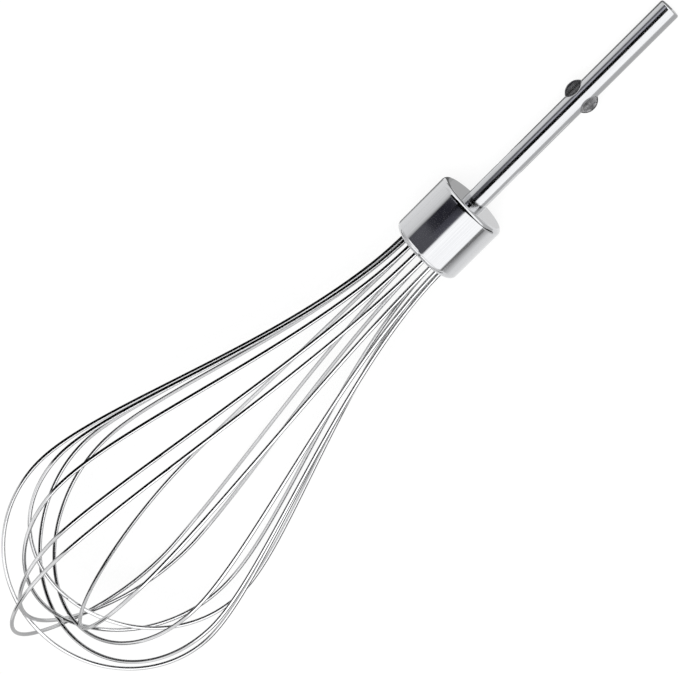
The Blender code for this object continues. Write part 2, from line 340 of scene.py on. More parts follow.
# %% The three steels
shaft_steel = steel(
    "drawn_spindle_steel",
    colour=(0.615, 0.620, 0.630),
    dark_colour=(0.54, 0.545, 0.56),
    roughness=0.085,
    rough_spread=0.06,
    lines=(5.0, 30.0),
    patch=5.0,
    relief=0.0006 * MM,
    pressed=True,
)
collar_steel = steel(
    "drawn_collar_steel",
    colour=(0.625, 0.630, 0.640),
    dark_colour=(0.56, 0.565, 0.58),
    roughness=0.055,
    rough_spread=0.05,
    lines=(4.0, 25.0),
    patch=7.0,
    relief=0.0004 * MM,
)
wire_steel = steel(
    "drawn_wire_steel",
    colour=(0.620, 0.622, 0.628),
    dark_colour=(0.53, 0.532, 0.54),
    roughness=0.07,
    rough_spread=0.05,
    lines=(6.0, 12.0),
    patch=9.0,
    relief=0.0004 * MM,
)
print("steels:", shaft_steel.name, collar_steel.name, wire_steel.name)

# %% [markdown]
# ## The moulded holder's plastic
# The core inside the collar is hidden except for its end face between the wires. A moulding of this kind
# has a very fine matt texture from the mould, and a slightly lighter, duller bloom where it has been washed
# often. A fine noise for the height and a soft one for the colour give both.

# %% Holder plastic
HOLDER_COLOUR = (0.060, 0.060, 0.064, 1.0)
HOLDER_BLOOM = (0.105, 0.105, 0.110, 1.0)
HOLDER_PATCH = 3.0  # mm
MOULD_GRAIN = 9000.0  # spots in a metre

holder_plastic, tree = new_material("holder_plastic_moulded")
place = add_node(tree, "NewGeometry").outputs["Position"]
bloom = use_group(tree, handling_group, {"Vector": place, "Patch size in mm": HOLDER_PATCH})["Mask"]
grain = add_noise(tree, place, MOULD_GRAIN, detail=2.0)
set_inputs(
    tree,
    tree.nodes["Principled BSDF"],
    {
        "Base Color": add_mix(tree, bloom, HOLDER_COLOUR, HOLDER_BLOOM),
        "Roughness": add_range(tree, bloom, 0.0, 1.0, low=0.42, high=0.62),
        "Normal": add_node(tree, "Bump", {"Height": grain, "Distance": 0.01 * MM}).outputs[0],
    },
)
holder_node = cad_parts["wire_holder"]
for index in range(len(holder_node.material_slots)):
    holder_node.material_slots[index].material = holder_plastic
print("holder slots:", len(holder_node.material_slots))

# %% [markdown]
# ## Turned pieces
# The spindle and the collar are bodies of revolution, so each is a list of rings: a distance along the axis
# and a radius. A screw modifier would turn the outline too, but writing the rings into a mesh keeps exact
# control of how many points each one has, and lets the mesh carry each point's place on the whisk for the
# shaders.


# %% Rings into a mesh
def mesh_object(name, points, faces, material):
    """An object from points and faces, with this material."""
    mesh = bpy.data.meshes.new(name)
    mesh.from_pydata(points, [], faces)
    mesh.materials.append(material)
    return new_object(name, mesh)


def finish_mesh(name, points, faces, places, material):
    """A piece from points on the whisk's axes, moved into the model's frame. Its finish reads the places."""
    world = np.array(PLACE)
    moved = points @ world[:3, :3].T + world[:3, 3]
    piece = mesh_object(name, moved.tolist(), faces, material)
    layer = piece.data.attributes.new(PLACE_LAYER, "FLOAT_VECTOR", "POINT")
    layer.data.foreach_set("vector", np.asarray(places, np.float32).ravel())
    piece.data.validate()
    piece.data.shade_smooth()
    return piece


def turned_points(rings, sides):
    """The points of rings round the axis. A ring is a station and a radius, or a radius for each side."""
    turns = np.linspace(0.0, math.tau, sides, endpoint=False)
    turned = [
        np.broadcast_arrays(station, radius * np.cos(turns), radius * np.sin(turns))
        for station, radius in rings
    ]
    return np.concatenate([np.column_stack(columns) for columns in turned])


def ring_faces(rings, steps, closed=False):
    """The four-sided faces between rings of the same number of points."""
    faces = []
    for ring in range(rings if closed else rings - 1):
        here = ring * steps
        there = (ring + 1) % rings * steps
        for step in range(steps):
            after = (step + 1) % steps
            faces.append((here + step, here + after, there + after, there + step))
    return faces


def end_faces(points, sides, first_reversed=False):
    """The flat faces that close the first and the last ring."""
    first = tuple(range(sides))
    last = tuple(range(points - sides, points))
    return [first[::-1], last] if first_reversed else [first, last[::-1]]


def arc(centre, radius, start, end, steps):
    """Points (station, radius) along a round corner, from one angle to another."""
    angles = np.radians(np.linspace(start, end, steps + 1))
    return [
        (centre[0] + radius * math.cos(turn), centre[1] + radius * math.sin(turn)) for turn in angles
    ]


# %% [markdown]
# ## The spindle
# The spindle is a 6.4 mm rod. Its two ears hold it in the mixer: they aren't added pieces, the rod is
# squeezed between round punches from both sides, and the steel flows out sideways. Cutting cylinders from a
# rod gives hard edges that real pressed steel doesn't have. Here the shape is one formula instead: the
# distance to the rod, to the ears and to the punches are joined with a soft minimum, so every edge is
# rounded as pressed steel is. The radius that solves the formula is found for each direction round the axis
# by halving.

# %% Spindle sizes
SHAFT_RADIUS = 3.2 * MM
SHAFT_REACH = 76.95 * MM
SHAFT_END = SHAFT_REACH + 14.5 * MM
TIP_ROUNDING = 0.5 * MM
EAR_STATION = 34.2 * MM
EAR_SPAN = 10.0 * MM
EAR_HALF_THICKNESS = 0.9 * MM
EAR_LOBE_RADIUS = 3.6 * MM
PUNCH_RADIUS = 4.0 * MM
PUNCH_SPACING = 3.4 * MM
EAR_SOFTNESS = 0.22 * MM
EAR_ZONE = 5.0 * MM  # how far the pressing reaches to each side of the ears
print("spindle:", round(SHAFT_END / MM, 2), "mm long,", round(SHAFT_REACH / MM, 2), "mm of it in view")


# %% The pressed shape
def soft_min(first, second):
    """The lesser of two distances, with a rounded change from one to the other."""
    share = np.clip(0.5 + 0.5 * (second - first) / EAR_SOFTNESS, 0.0, 1.0)
    return second * (1 - share) + first * share - EAR_SOFTNESS * share * (1 - share)


def soft_max(first, second):
    """The greater of two distances, with the same rounding."""
    return -soft_min(-first, -second)


def lobe_distance(station, side):
    """How far outside an ear's round outline a point is."""
    middle = EAR_SPAN / 2 - EAR_LOBE_RADIUS
    return np.hypot(station - EAR_STATION, side - middle) - EAR_LOBE_RADIUS


def punch_distance(station, side):
    """How far outside a punch a point is."""
    middle = PUNCH_SPACING / 2 + PUNCH_RADIUS
    return np.hypot(station - EAR_STATION, side - middle) - PUNCH_RADIUS


def spindle_distance(station, side, height):
    """How far outside the pressed rod a point is: less than nothing inside it."""
    side = np.abs(side)
    height = np.abs(height)
    above_ear = height - EAR_HALF_THICKNESS
    rod = np.hypot(side, height) - SHAFT_RADIUS
    lobe = soft_max(lobe_distance(station, side), above_ear)
    punch = soft_max(punch_distance(station, side), -above_ear)
    return soft_min(soft_max(rod, -punch), lobe)


HALVINGS = 30
SEARCH_FROM = 0.5 * MM
SEARCH_TO = 7.0 * MM


def spindle_radii(station, sides):
    """The pressed rod's radius in each direction, found by halving."""
    turns = np.linspace(0.0, math.tau, sides, endpoint=False)
    inside = np.full(sides, SEARCH_FROM)
    outside = np.full(sides, SEARCH_TO)
    for _ in range(HALVINGS):
        middle = (inside + outside) / 2
        solid = spindle_distance(station, middle * np.cos(turns), middle * np.sin(turns)) < 0
        inside = np.where(solid, middle, inside)
        outside = np.where(solid, outside, middle)
    return inside


print("half width at the ears:", round(spindle_radii(EAR_STATION, 4).max() / MM, 2), "mm")

# %% Build the spindle
SHAFT_SIDES = 240
EAR_RINGS = 85
TIP_STEPS = 8
CENTRE_RADIUS = 0.02 * MM  # each flat end closes with a tiny face at its middle
TIP_RING = 1.4 * MM
BEFORE_EARS = (10 * MM, 20 * MM, 28 * MM)
AFTER_EARS = (40 * MM, 52 * MM, 65 * MM, SHAFT_END - 0.2 * MM, SHAFT_END)

tip_corner = (TIP_ROUNDING, SHAFT_RADIUS - TIP_ROUNDING)
rings = [(0.0, CENTRE_RADIUS), (0.0, TIP_RING), *arc(tip_corner, TIP_ROUNDING, 180.0, 90.0, TIP_STEPS)]
rings += [(station, SHAFT_RADIUS) for station in BEFORE_EARS]
for station in np.linspace(EAR_STATION - EAR_ZONE, EAR_STATION + EAR_ZONE, EAR_RINGS):
    rings.append((station, spindle_radii(station, SHAFT_SIDES)))
rings += [(station, SHAFT_RADIUS) for station in AFTER_EARS]
rings.append((SHAFT_END, CENTRE_RADIUS))
points = turned_points(rings, SHAFT_SIDES)
faces = ring_faces(len(rings), SHAFT_SIDES) + end_faces(len(points), SHAFT_SIDES)
shaft = finish_mesh("spindle", points, faces, points, shaft_steel)
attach(shaft, "root")
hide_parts("drive_shaft")
ear_span = 2 * np.abs(points[:, 1]).max()
print("spindle:", len(points), "points, ears", round(ear_span / MM, 2), "mm across")

# %% [markdown]
# ## Where the spindle was pressed
# The rod is polished before the ears are pressed, so the scale lies only where the punches were. Its border
# follows the shape, so it is worked out from the same distances and kept as a layer on the mesh: 0 is
# polished steel, 0.8 is full scale, and from there to 1 it darkens towards black. That darkening is painted
# shade. The two ears look different, and the layer paints that difference in as light and shade: the left
# one is dark with a black wall of painted shade towards the rod, and the right one is painted lighter, with
# a painted highlight band inside a painted dark outline.

# %% Mark the pressed steel
PUNCH_BORDER = 0.10 * MM
PUNCH_LIMIT = 1.7 * MM  # the punches marked the rod up to this height
PUNCH_FADE = 0.5 * MM  # and below it the scale fades in over this distance
EAR_START = 3.25 * MM  # a point further out than this belongs to an ear
EAR_BORDER = 0.15 * MM
# painted light on the ears: the right ear a little lighter, a painted highlight band and a painted dark
# outline
RIGHT_EAR_PAINTED_LIGHT = 0.76
RIGHT_EAR_PAINTED_HIGHLIGHT = 0.55
RIGHT_EAR_PAINTED_SHADE = 0.97
PAINTED_BAND_DEPTHS = (0.70 * MM, 0.30 * MM)  # the painted highlight band's borders, inside the right ear's painted dark outline
PAINTED_WALL_SHADE_HEIGHT = 1.05 * MM  # the left punch's wall is painted black, as painted shade, from here up

stations, sides, heights = points.T
left = sides < 0
sides, heights = np.abs(sides), np.abs(heights)
lobe_depth = -lobe_distance(stations, sides)
low = np.clip((PUNCH_LIMIT - heights) / PUNCH_FADE, 0.0, 1.0)
in_punch = np.clip(-punch_distance(stations, sides) / PUNCH_BORDER, 0.0, 1.0) * low
on_ear = np.clip((np.hypot(sides, heights) - EAR_START) / EAR_BORDER, 0.0, 1.0)
right_ear = ~left & (on_ear > 0.5)
pressed = FULL_SCALE * np.maximum(in_punch, on_ear)
# these lines paint light and shade into the layer: the right ear lighter, its painted highlight band and
# painted dark outline, and the left punch's wall in painted shade
pressed[~left & (pressed > FULL_SCALE / 2)] = RIGHT_EAR_PAINTED_LIGHT
pressed[right_ear & (lobe_depth < PAINTED_BAND_DEPTHS[0])] = RIGHT_EAR_PAINTED_HIGHLIGHT
pressed[right_ear & (lobe_depth < PAINTED_BAND_DEPTHS[1])] = RIGHT_EAR_PAINTED_SHADE
pressed[left & (in_punch > 0.5) & (heights > PAINTED_WALL_SHADE_HEIGHT)] = 1.0
layer = shaft.data.attributes.new(SCALE_AND_SHADE_LAYER, "FLOAT", "POINT")
layer.data.foreach_set("value", pressed.astype(np.float32))
print("pressed:", int((pressed > FULL_SCALE / 2).sum()), "of", len(pressed), "points carry scale")

# %% [markdown]
# ## The collar
# The collar is drawn from sheet steel as a small cup: a flat top with a hole for the spindle, a rounded
# upper edge, a straight wall, and a lower edge that is spun inwards over the core. It is a closed ring of
# points, the outside first and then the inside, so the sheet has its real thickness when seen from below.

# %% Build the collar
COLLAR_RADIUS = 11.2 * MM
COLLAR_LENGTH = 20.3 * MM
COLLAR_WALL = 0.8 * MM
COLLAR_TOP_ROUNDING = 1.5 * MM
COLLAR_HOLE = 3.22 * MM
HOLE_EDGE = 0.06 * MM
LIP_RADIUS = 9.3 * MM
COLLAR_SIDES = 192
COLLAR_STEPS = 14
HOLE_STEPS = 4
CORNER_GAP = 0.1 * MM  # a ring this close to a round corner keeps the flat and the wall evenly shaded
TOP_RINGS = (3.4 * MM, 6.0 * MM)
WALL_RING = 9 * MM

shoulder = COLLAR_RADIUS - LIP_RADIUS
top_corner = (COLLAR_TOP_ROUNDING, COLLAR_RADIUS - COLLAR_TOP_ROUNDING)
low_corner = (COLLAR_LENGTH - shoulder, LIP_RADIUS)
section = arc((HOLE_EDGE, COLLAR_HOLE + HOLE_EDGE), HOLE_EDGE, 270.0, 180.0, HOLE_STEPS)
section += [(0.0, radius) for radius in (*TOP_RINGS, top_corner[1] - CORNER_GAP)]
section += arc(top_corner, COLLAR_TOP_ROUNDING, 180.0, 90.0, COLLAR_STEPS)
wall_stations = (top_corner[0] + CORNER_GAP, WALL_RING, low_corner[0] - CORNER_GAP)
section += [(station, COLLAR_RADIUS) for station in wall_stations]
section += arc(low_corner, shoulder, 90.0, 0.0, 2 * COLLAR_STEPS)
section += arc(low_corner, shoulder - COLLAR_WALL, 0.0, 90.0, COLLAR_STEPS)
section += arc(top_corner, COLLAR_TOP_ROUNDING - COLLAR_WALL, 90.0, 180.0, HOLE_STEPS)
section += [(COLLAR_WALL, COLLAR_HOLE)]
points = turned_points([(SHAFT_REACH + station, radius) for station, radius in section], COLLAR_SIDES)
faces = ring_faces(len(section), COLLAR_SIDES, closed=True)
collar = finish_mesh("steel_collar", points, faces, points, collar_steel)
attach(collar, "root")
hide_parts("collar")
print("collar:", len(points), "points in", len(section), "rings")

# %% [markdown]
# ## The wire loops
# Each loop is one round wire of 1.2 mm, bent into a drop and pushed into two opposite sockets. The eight
# loops have slightly different lengths, and pass one another at the balloon's end. A curve object with a
# round bevel would do, but its finish couldn't follow the wire. Here a ring of points is carried along each
# route, turned only as much as the wire bends, and every point keeps its distance along the wire for the
# drawing lines.

# %% Loop sizes
# The angles say where the two strands stand at the belly, going round from -Y over the top. The two bellies
# and the reach are measured from the collar's rim. Aside and above place the loop's end off the axis, lean
# is how far the strands still turn round the whisk at the belly, and ease is the share of the flare that the
# bend at the belly takes. Lengths are in metres.
Loop = namedtuple(
    "Loop", "first_angle second_angle first_belly second_belly reach aside above lean ease"
)
LOOPS = (
    Loop(4.0, 185.0, 0.1290, 0.1325, 0.1691, 0.0003, 0.0001, 3.5, 0.20),
    Loop(26.5, 201.5, 0.1165, 0.1195, 0.1556, 0.0012, -0.0034, 1.0, 0.20),
    Loop(44.0, 217.0, 0.1200, 0.1250, 0.1603, 0.0025, -0.0006, 0.0, 0.23),
    Loop(64.0, 248.5, 0.1245, 0.1245, 0.1657, -0.0017, -0.0014, -4.0, 0.24),
    Loop(72.0, 255.0, 0.1265, 0.1315, 0.1735, -0.0020, -0.0040, -4.5, 0.32),
    Loop(107.0, 279.5, 0.1175, 0.1105, 0.1541, 0.0039, 0.0004, -0.5, 0.25),
    Loop(135.5, 320.5, 0.1160, 0.1205, 0.1573, -0.0020, -0.0014, 0.0, 0.21),
    Loop(157.0, 331.0, 0.1220, 0.1240, 0.1620, 0.0010, -0.0004, -1.5, 0.19),
)
WIRE_RADIUS = 0.6 * MM
SOCKET_RING_RADIUS = 7.5 * MM
SOCKET_DEPTH = 9.0 * MM
SOCKET_GAP = 0.3 * MM
SOCKET_MOUTH = -1.1 * MM  # from the collar's rim
FIRST_SOCKET_ANGLE = 11.25
BALLOON_RADIUS = 37.0 * MM
FLARE_PULL = 0.35  # the share of the flare that a strand's straight start rules
END_FALL = 0.565  # the share of the way from the belly to the end that its slope there rules
END_SWEEP = 0.545  # how flat the loop's end is, as a share of the balloon's radius
RIM_STATION = SHAFT_REACH + COLLAR_LENGTH
FLARE_STEPS = 44
END_STEPS = 44
print("loops:", len(LOOPS), "that reach", [round(loop.reach / MM, 1) for loop in LOOPS], "mm from the rim")


# %% Loop routes
def ring_point(angle, radius, station):
    """A point at an angle round the whisk, from -Y over the top."""
    turn = math.radians(angle)
    return Vector((station, -radius * math.cos(turn), radius * math.sin(turn)))


def loop_route(loop, socket_angle):
    """The wire's middle line, from the floor of one socket round the loop to the floor of the other."""
    end = Vector((loop.reach, loop.aside, loop.above))
    first_wide = ring_point(loop.first_angle, BALLOON_RADIUS, 0.0)
    second_wide = ring_point(loop.second_angle, BALLOON_RADIUS, 0.0)
    sweep = (second_wide - first_wide).normalized() * END_SWEEP * BALLOON_RADIUS
    strands = []
    for angle, belly, socket, inward in (
        (loop.first_angle, loop.first_belly, socket_angle, -sweep),
        (loop.second_angle, loop.second_belly, socket_angle + 180.0, sweep),
    ):
        root = ring_point(socket, SOCKET_RING_RADIUS, SOCKET_MOUTH)
        wide = ring_point(angle, BALLOON_RADIUS, belly)
        turn = math.radians(angle)
        round_whisk = Vector((0.0, math.sin(turn), math.cos(turn)))
        down = (Vector((1.0, 0.0, 0.0)) + round_whisk * math.tan(math.radians(loop.lean))).normalized()
        flare = belly - SOCKET_MOUTH
        flare_points = geometry.interpolate_bezier(
            root,
            root + Vector((FLARE_PULL * flare, 0.0, 0.0)),
            wide - down * loop.ease * flare,
            wide,
            FLARE_STEPS + 1,
        )
        end_points = geometry.interpolate_bezier(
            wide,
            wide + down * END_FALL * (loop.reach - belly),
            end + inward,
            end,
            END_STEPS + 1,
        )
        tail = root - Vector((SOCKET_DEPTH - SOCKET_GAP, 0.0, 0.0))
        strands.append([tail, *flare_points, *end_points[1:]])
    return strands[0] + strands[1][-2::-1]


print("a route has", len(loop_route(LOOPS[0], FIRST_SOCKET_ANGLE)), "points")

# %% A round wire along a route
WIRE_SIDES = 20


def wire_mesh(name, route, station):
    """A tube along the route, whose rings turn only as much as the route bends, and its length."""
    middle = np.array([(x + station, y, z) for x, y, z in route])
    lengths = np.concatenate(([0.0], np.cumsum(np.linalg.norm(np.diff(middle, axis=0), axis=1))))
    before = np.diff(middle, axis=0, prepend=middle[:1] - (middle[1:2] - middle[:1]))
    after = np.diff(middle, axis=0, append=middle[-1:] + (middle[-1:] - middle[-2:-1]))
    before /= np.linalg.norm(before, axis=1)[:, None]
    after /= np.linalg.norm(after, axis=1)[:, None]
    heading = before + after
    heading /= np.linalg.norm(heading, axis=1)[:, None]
    upright = np.array((0.0, 0.0, 1.0))
    turns = np.linspace(0.0, math.tau, WIRE_SIDES, endpoint=False)
    points = []
    places = []
    for spot, direction, length in zip(middle, heading, lengths):
        upright = unit(upright - direction * (upright @ direction))
        beside = np.cross(direction, upright)
        for turn in turns:
            aside = WIRE_RADIUS * math.cos(turn)
            above = WIRE_RADIUS * math.sin(turn)
            points.append(spot + beside * aside + upright * above)
            places.append((length, aside, above))
    faces = ring_faces(len(middle), WIRE_SIDES) + end_faces(len(points), WIRE_SIDES, first_reversed=True)
    return finish_mesh(name, np.array(points), faces, places, wire_steel), lengths[-1]


# %% Build the loops
for index, loop in enumerate(LOOPS):
    socket_angle = FIRST_SOCKET_ANGLE + 180.0 * index / len(LOOPS)
    wire, length = wire_mesh(f"round_wire_{index + 1}", loop_route(loop, socket_angle), RIM_STATION)
    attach(wire, "root")
    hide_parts(f"wire_loop_{index + 1}")
    print(wire.name, "is", round(1000 * length), "mm of wire in", len(wire.data.vertices), "points")

# %% [markdown]
# ## The table and the light
# The photograph was taken in white surroundings. The camera, and the steel too, see the world as plain
# white through Light Path, while the floor is lit by a softer world and one large lamp so that it keeps the
# whisk's shadow.

# %% World
WHITE = (1.0, 1.0, 1.0, 1.0)
ROOM_LIGHT = 0.55  # how strongly the white room lights the floor


def seen_share(tree):
    """1 for rays from the camera, off the steel or through glass, and 0 for light that falls on the floor."""
    rays = add_node(tree, "LightPath").outputs
    seen = add_math(tree, "MAXIMUM", rays["Is Camera Ray"], rays["Is Glossy Ray"])
    return add_math(tree, "MAXIMUM", seen, rays["Is Transmission Ray"])


def mix_shaders(tree, share, first, second):
    """The output of a Mix Shader node."""
    return add_node(tree, "MixShader", {0: share, 1: first, 2: second}).outputs[0]


world = bpy.data.worlds.new("white_room")
bpy.context.scene.world = world
world.use_nodes = True
tree = world.node_tree
tree.nodes.clear()
soft_light = add_node(tree, "Background", {"Color": WHITE, "Strength": ROOM_LIGHT}).outputs[0]
plain_white = add_node(tree, "Background", {"Color": WHITE, "Strength": 1.0}).outputs[0]
blend = mix_shaders(tree, seen_share(tree), soft_light, plain_white)
add_node(tree, "OutputWorld", {"Surface": blend})
print("world:", len(tree.nodes), "nodes")

# %% Floor
FLOOR_SIZE = 6.0
FLOOR_COLOUR = (0.9, 0.9, 0.9, 1.0)
FLOOR_GLOW = 0.85  # the share of the floor's white that a shadow doesn't dim

floor_white, tree = new_material("table_white")
shader = tree.nodes["Principled BSDF"]
set_inputs(tree, shader, {"Base Color": FLOOR_COLOUR, "Roughness": 0.9, "Specular IOR Level": 0.0})
glow = add_node(tree, "Emission", {"Color": WHITE, "Strength": 1.0}).outputs[0]
share = add_math(tree, "MULTIPLY", seen_share(tree), FLOOR_GLOW)
blend = mix_shaders(tree, share, shader.outputs[0], glow)
set_inputs(tree, tree.nodes["Material Output"], {"Surface": blend})

half = FLOOR_SIZE / 2
corners = [(-half, -half, 0.0), (half, -half, 0.0), (half, half, 0.0), (-half, half, 0.0)]
floor = mesh_object("table_top", corners, [(0, 1, 2, 3)], floor_white)
print("floor:", FLOOR_SIZE, "m square")

# %% Lamp
lamp_data = bpy.data.lights.new("overhead_softbox", "AREA")
lamp_data.shape = "DISK"
lamp_data.size = 1.2
lamp_data.energy = 26.0
lamp = new_object("overhead_softbox", lamp_data)
lamp.location = (-0.25, 0.45, 1.5)
lamp.rotation_euler = (-lamp.location).to_track_quat("-Z", "Y").to_euler()
lamp.visible_glossy = False
print("lamp:", round(lamp.location.length, 2), "m from the whisk")

# %% [markdown]
# ## What the steel reflects
# Polished steel has no colour of its own: it shows the room. A photographer shapes it with white cards, and
# with black flags that draw the dark lines without which steel looks like grey plastic. A round bar shows
# the room as stripes, because each line along it faces another way. So the cards and flags are painted here
# on one large dome, by the angle round the whisk's axis: -90 is its left, 0 is above it and 90 is its
# right. Only reflections see the dome; it casts no light or shadow on the floor.
#
# One set of stripes isn't enough, because a piece that slopes or curves looks forwards or back along the
# axis as well. The dome therefore has seven zones along the axis, from behind the spindle's tip to beyond
# the balloon, with a soft change between them:
#
# - far rear and rear: what the collar's rounded top edge and the flaring wires mirror
# - side: what the spindle, the collar's wall and the straight parts of the wires mirror. Its stripes, from
#   the left, are a light side, a bluish dark band that slowly lightens, the white softbox and a grey right
#   border
# - near front: the balloon's belly and the start of the collar's spun lower edge
# - front and far front: the rest of that edge, and the wires' bends at the balloon's end
# - the pole beyond the balloon, which only the bends' ends mirror

# %% Stripes at the side and the rear
def grey(level, lilac=0.0):
    """A grey level, whose red and green can be a little less than its blue."""
    return (level * (1 - lilac), level * (1 - lilac), level)


# Each stop is an angle in degrees and a level.
SOFTBOX = grey(1.55)
BLACK = grey(0.004)
SIDE_STOPS = (
    (-180, grey(0.97)),
    (-90, grey(1.00)),
    (-76, grey(0.93)),
    (-68, grey(0.70)),
    (-64, grey(0.30)),
    (-61.5, grey(0.034, 0.27)),
    (-25, grey(0.034, 0.27)),
    (-21, grey(0.085, 0.22)),
    (-8, grey(0.112, 0.20)),
    (-2.5, grey(0.160, 0.16)),
    (3, SOFTBOX),
    (71, SOFTBOX),
    (74.5, grey(0.22)),
    (82, grey(0.28)),
    (86, grey(0.45)),
    (180, grey(0.80)),
)
REAR_STOPS = (
    (-180, grey(0.90)),
    (-70, grey(0.90)),
    (-66, BLACK),
    (-30, BLACK),
    (-24, SOFTBOX),
    (70, SOFTBOX),
    (76, grey(0.02)),
    (112, grey(0.02)),
    (120, grey(0.35)),
    (180, grey(0.35)),
)
FAR_REAR = grey(1.60)
print("stops:", len(SIDE_STOPS), "at the side,", len(REAR_STOPS), "at the rear")

# %% Stripes at the front
NEAR_FRONT_STOPS = (
    (-180, grey(0.70)),
    (-66, grey(0.80)),
    (-60, SOFTBOX),
    (-18, SOFTBOX),
    (-15, grey(0.12, 0.15)),
    (-4, grey(0.12, 0.15)),
    (0, SOFTBOX),
    (66, SOFTBOX),
    (74, grey(0.60)),
    (180, grey(0.60)),
)
FRONT_STOPS = (
    (-180, grey(0.50)),
    (-100, grey(0.55)),
    (-62, grey(0.85)),
    (-45, grey(1.20)),
    (60, grey(1.20)),
    (85, grey(0.75)),
    (110, grey(0.50)),
    (180, grey(0.50)),
)
FAR_FRONT_STOPS = (
    (-180, grey(0.75)),
    (-64, grey(0.90)),
    (-60, grey(1.60)),
    (-18, grey(1.60)),
    (-14, grey(0.30)),
    (-3, grey(0.30)),
    (2, grey(1.60)),
    (70, grey(1.60)),
    (80, grey(0.70)),
    (180, grey(0.60)),
)
POLE = grey(0.12)
print("stops:", len(NEAR_FRONT_STOPS), len(FRONT_STOPS), len(FAR_FRONT_STOPS), "in the front zones")

# %% Dome shader
FULL_TURN = 360.0
HALF_TURN = 180.0
ZONES = (  # the stops, and the places along the dome, from -1 to 1, where the zone starts and is full
    (REAR_STOPS, -0.66, -0.58),
    (SIDE_STOPS, -0.08, -0.02),
    (NEAR_FRONT_STOPS, 0.26, 0.33),
    (FRONT_STOPS, 0.50, 0.56),
    (FAR_FRONT_STOPS, 0.74, 0.80),
)
POLE_START, POLE_FULL = 0.95, 0.97


def level_ramp(tree, angle, stops):
    """A colour ramp over the angle round the axis."""
    ramp = add_node(tree, "ValToRGB", {"Fac": add_range(tree, angle, -HALF_TURN, HALF_TURN)})
    elements = ramp.color_ramp.elements
    elements[0].position, elements[1].position = 0.0, 1.0
    for element, (_, level) in zip(elements, (stops[0], stops[-1])):
        element.color = (*level, 1.0)
    for degrees, level in stops[1:-1]:
        element = elements.new((degrees + HALF_TURN) / FULL_TURN)
        element.color = (*level, 1.0)
    return ramp.outputs["Color"]


flags, tree = new_material("cards_and_flags")
tree.nodes.clear()
place = add_node(tree, "TexCoord").outputs["Object"]
direction = add_node(tree, "VectorMath", {0: place}, operation="NORMALIZE").outputs[0]
towards = add_node(tree, "SeparateXYZ", {0: direction}).outputs
angle = add_math(tree, "DEGREES", add_math(tree, "ARCTAN2", towards[1], towards[2]))
all_round = (*FAR_REAR, 1.0)
for stops, start, full in ZONES:
    share = add_range(tree, towards[0], start, full)
    all_round = add_mix(tree, share, all_round, level_ramp(tree, angle, stops))
share = add_range(tree, towards[0], POLE_START, POLE_FULL)
all_round = add_mix(tree, share, all_round, (*POLE, 1.0))
glow = add_node(tree, "Emission", {"Color": all_round, "Strength": 1.0}).outputs[0]
add_node(tree, "OutputMaterial", {"Surface": glow})
print("dome finish:", len(ZONES) + 2, "zones,", len(tree.nodes), "nodes")


# %% Dome
DOME_RADIUS = 2.2
DOME_ROWS = 32
DOME_SIDES = 64
POLE_OPENING = 0.01  # radians


def reflected_only(thing):
    """Marks a card as part of the studio that only reflections see."""
    thing.visible_camera = False
    thing.visible_diffuse = False
    thing.visible_shadow = False
    thing.visible_transmission = False


polar = np.linspace(POLE_OPENING, math.pi - POLE_OPENING, DOME_ROWS)
rings = zip(DOME_RADIUS * np.cos(polar), DOME_RADIUS * np.sin(polar))
dome_points = turned_points(rings, DOME_SIDES).tolist()
dome = mesh_object("card_dome", dome_points, ring_faces(DOME_ROWS, DOME_SIDES), flags)
dome.matrix_world = PLACE @ Matrix.Translation((CAMERA_AIM, 0.0, 0.0))
reflected_only(dome)
print("dome of", len(dome.data.polygons), "faces round the whisk's axis")

# %% [markdown]
# ## Small cards close to the whisk
# The dome is far away, so a stripe on it runs along the whole whisk. The photograph shows stripes that
# stop: the spindle has a grey one that the collar lacks, and the wires have black left edges where the
# collar is light. Cards that stand or lie close by do that, because each stretch of the whisk only mirrors
# what is beside it.
#
# There are four kinds. A curved card is bent round the axis beside one stretch of it. A fan stands across
# the axis and has one face, so only pieces that look back along the axis see it. A louvred card turns clear
# when it is met at a slant, which keeps it for the wires right beside it. A table card lies on the table,
# which the lower half of every round piece mirrors. A photographer would clip black and grey card up in the
# same places.


# %% Card finish
def card_finish(name, level, one_sided=False, louvre=None):
    """A plain glow. A one-sided card is seen from its face's side, a louvred one only up to a slant."""
    material, tree = new_material(name)
    tree.nodes.clear()
    surface = add_node(tree, "Emission", {"Color": (*level, 1.0), "Strength": 1.0}).outputs[0]
    clear_shares = []
    if one_sided:
        clear_shares.append(add_node(tree, "NewGeometry").outputs["Backfacing"])
    if louvre:
        slant = add_node(tree, "LayerWeight", {"Blend": 0.5}).outputs["Facing"]
        clear_shares.append(add_range(tree, slant, *louvre))
    for share in clear_shares:
        surface = mix_shaders(tree, share, surface, add_node(tree, "BsdfTransparent").outputs[0])
    add_node(tree, "OutputMaterial", {"Surface": surface})
    return material


def hang_card(name, points, faces, finish, placed=True):
    """A card from its points, on the whisk's own axes unless it lies on the table."""
    card = mesh_object(name, points, faces, finish)
    if placed:
        card.matrix_world = PLACE
    reflected_only(card)


# %% Curved cards
CARD_BLACK = grey(0.003)
CARD_DISTANCE = 0.15


def grid_faces(rows, columns):
    """The four-sided faces of a grid of points, row by row."""
    spots = [row * columns + column for row in range(rows - 1) for column in range(columns - 1)]
    return [(spot, spot + 1, spot + columns + 1, spot + columns) for spot in spots]


def curved_card(name, level, angles, rims, steps=10, **finish):
    """A card bent round the whisk's axis, between two angles and two rims, each a station and a radius."""
    points = []
    for station, radius in rims:
        for degrees in np.linspace(*angles, steps + 1):
            turn = math.radians(degrees)
            points.append((station, radius * math.sin(turn), radius * math.cos(turn)))
    hang_card(name, points, grid_faces(len(rims), steps + 1), card_finish(name, level, **finish))


def upright_rims(start, end):
    """The two rims of a card that runs level with the axis."""
    return ((start, CARD_DISTANCE), (end, CARD_DISTANCE))


